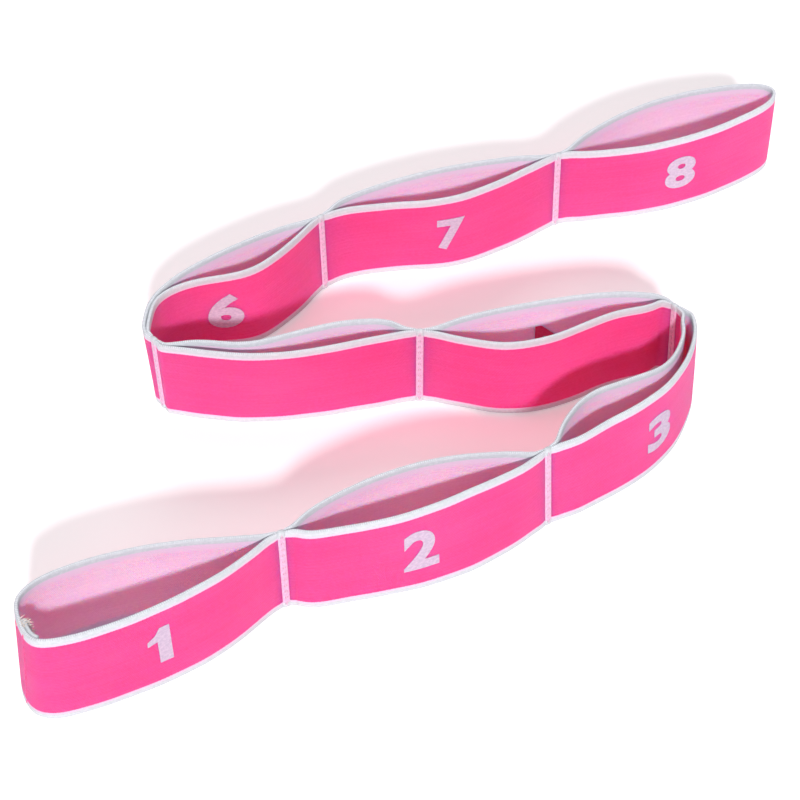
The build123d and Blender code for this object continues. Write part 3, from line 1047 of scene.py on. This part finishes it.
# ---------------------------------------------------------------- lap join at loop 1's end
LAP_GAP = 0.1 * MM
LAP_CURL = [(-192.0, -94.8), (-193.4, -91.6), (-196.0, -91.4)]     # the curled end, in plan
LAP_FROM = (-197.9, -95.5)       # where it meets the fold, and where it runs out
LAP_TO = (-194.3, -105.75)
LAP_SEWN = (-197.9, -99.5)       # where its stitches go through the fold
LAP_LEAN = (-2.3, 0.5)           # how far its top and bottom stand out, in millimetres
SWELL = 1.5 * MM                 # how much the loose cut opens out to each side
SWELL_LONG = 3.4 * MM
LOOSE_YARNS = 50                 # on each line of them
LOOSE_YARN = 0.24 * MM           # half thickness, and length
LOOSE_LONG = 2.2 * MM
LOOSE_LEAN = 0.8                 # how far they lean at most, in radians
CUT_ROWS = np.linspace(-1.5, 1.5, 5) * MM


def nearest_run(panel, place):
    """Length along a panel of the point nearest to a place in plan."""
    far = np.linalg.norm(panel.line - np.array(place) * MM, axis=1)
    return panel.run[int(np.argmin(far))]


def fray_tree():
    """Cut yarns that stand out of a curve, each thinner towards its tip and leaning its own
    way."""
    group, tree, given, end = geometry_tree("cut_yarns", {
        "Count": ("NodeSocketInt", LOOSE_YARNS),
        "Yarn": ("NodeSocketFloat", LOOSE_YARN),
        "Length": ("NodeSocketFloat", LOOSE_LONG),
        "Lean": ("NodeSocketFloat", LOOSE_LEAN),
        "Turn": ("NodeSocketFloat", 0.0),
        "Seed": ("NodeSocketInt", 7),
        "Yarn finish": ("NodeSocketMaterial", None),
    })
    points = tree.node("GeometryNodeCurveToPoints", {"mode": "COUNT"},
                       {"Curve": given["Geometry"], "Count": given["Count"]})
    yarn = tree.node("GeometryNodeMeshCone", None, {
        "Vertices": 5, "Side Segments": 3, "Radius Top": given["Yarn"] * 0.35,
        "Radius Bottom": given["Yarn"], "Depth": given["Length"],
    })
    lean = tree.node("FunctionNodeRandomValue", {"data_type": "FLOAT_VECTOR"}, {
        0: tree.join(-1 * given["Lean"], math.pi / 2 - given["Lean"], given["Turn"] - given["Lean"]),
        1: tree.join(given["Lean"], math.pi / 2 + given["Lean"], given["Turn"] + given["Lean"]),
        "Seed": given["Seed"],
    })
    long = tree.node("FunctionNodeRandomValue", {"data_type": "FLOAT"},
                     {2: 0.5, 3: 1.3, "Seed": given["Seed"] + 1}, out=1)
    placed = tree.node("GeometryNodeInstanceOnPoints", None, {
        "Points": points, "Instance": yarn, "Rotation": lean, "Scale": tree.join(1.0, 1.0, long),
    })
    realised(tree, placed, given["Yarn finish"], end)
    return group


def lap_join():
    """The webbing's cut end, lapped inside loop 1's fold and curled away from it, with its
    row of stitches and the yarns that have come loose from the cut."""
    panel = PANELS[(1, "both")]
    first, last = nearest_run(panel, LAP_FROM), nearest_run(panel, LAP_TO)
    inward = THICK + LAP_GAP
    control = plan(LAP_CURL)
    for along in np.linspace(first, last, 6):
        point, normal = panel.at(along)
        control.append(point - normal * inward)
    tail = Panel("loop_1_lapped_tail", control, -1, [(0, *LAP_LEAN), (1, *LAP_LEAN)], pinched=False)
    swell = np.exp(-(tail.run / SWELL_LONG) ** 2) * SWELL
    tail.inn = tail.inn - swell
    tail.out = tail.out + swell
    piece = webbing_piece(tail, 0.3)
    piece.data.attributes["outside"].data.foreach_set("value", [0.0] * len(piece.data.loops))
    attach(piece, "loop_1_end")
    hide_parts("loop_1_lap_tail")

    cut, normal = tail.line[0], tail.normal[0]
    lines = []
    rises = np.linspace(1.2 * MM, WIDTH - 0.4 * MM, 9)
    for depth in CUT_ROWS:
        lines.append([(*(cut + normal * (depth + tail.lean(0, z))), z) for z in rises])
    top = WIDTH - 0.5 * MM
    lines.append([(*(cut + tail.way[0] * back + normal * tail.lean(0, top)), top)
                  for back in np.linspace(0, 3.5, 5) * MM])
    turn = math.atan2(-tail.way[0][1], -tail.way[0][0])
    yarns = applied("loop_1_cut_yarns", route_object("loop_1_cut_yarns", lines), fray_tree(), {
        "Count": LOOSE_YARNS, "Yarn": LOOSE_YARN, "Length": LOOSE_LONG, "Lean": LOOSE_LEAN,
        "Turn": turn, "Seed": 7, "Yarn finish": FRAY,
    })
    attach(yarns, "loop_1_end")

    sewn_run = nearest_run(panel, LAP_SEWN)
    sewn, normal = panel.at(sewn_run)
    rows = []
    for depth in (THICK / 2 - 0.06 * MM, -(1.5 * THICK + LAP_GAP) + 0.02 * MM):
        rows.append([(*(sewn + normal * (depth + panel.lean(sewn_run, z))), z) for z in STITCH_RISES])
    stitched("loop_1_lap_stitches", "loop_1_end", "loop_1_lap_thread", rows, 17, LAP_SEWING)


lap_join()

# ---------------------------------------------------------------- floor, lights, camera
FLOOR_HALF = 6.0
FLOOR_HEIGHT = -0.4 * MM
LOOK_AT = Vector((-0.016, 0.003, 0.0))
CAMERA_AT = (-0.2505, -0.6412, 0.6763)
LENS = 104.4                     # on a sensor 36 wide

floor_mesh = bpy.data.meshes.new("floor")
corners = [(x * FLOOR_HALF, y * FLOOR_HALF, FLOOR_HEIGHT) for x, y in ((-1, -1), (1, -1), (1, 1), (-1, 1))]
floor_mesh.from_pydata(corners, [], [(0, 1, 2, 3)])
floor_mesh.materials.append(floor_material())
floor = bpy.data.objects.new("floor", floor_mesh)
bpy.context.scene.collection.objects.link(floor)


def aimed(name, data, place, target=LOOK_AT):
    """A light or the camera at a place, turned to a target."""
    made = bpy.data.objects.new(name, data)
    bpy.context.scene.collection.objects.link(made)
    made.location = place
    made.rotation_euler = (Vector(target) - Vector(place)).to_track_quat("-Z", "Y").to_euler()
    return made


def sun_light(name, from_way, power, spread):
    """A sun that shines from a way; its spread, in degrees, softens its shadows."""
    data = bpy.data.lights.new(name, "SUN")
    data.energy = power
    data.angle = math.radians(spread)
    aimed(name, data, from_way, (0, 0, 0))


def area_light(name, place, size, power):
    data = bpy.data.lights.new(name, "AREA")
    data.shape = "DISK"
    data.size = size
    data.energy = power
    aimed(name, data, place)


sun_light("key_light", (-0.20, -0.80, 0.515), 2.95, 5)
sun_light("back_light", (0.25, 0.80, 0.70), 1.2, 30)
area_light("top_light", (0.1, 0.2, 1.6), 1.6, 5)
area_light("left_light", (-1.5, -0.6, 0.9), 1.2, 3)

world = bpy.data.worlds.new("studio")
world.use_nodes = True
background = world.node_tree.nodes["Background"]
background.inputs["Color"].default_value = (1.0, 0.88, 0.93, 1)
background.inputs["Strength"].default_value = 0.22
bpy.context.scene.world = world
bpy.context.scene.view_settings.view_transform = "Standard"

lens = bpy.data.cameras.new("camera")
lens.lens = LENS
lens.sensor_width = 36
lens.clip_end = 50
bpy.context.scene.camera = aimed("camera", lens, CAMERA_AT)
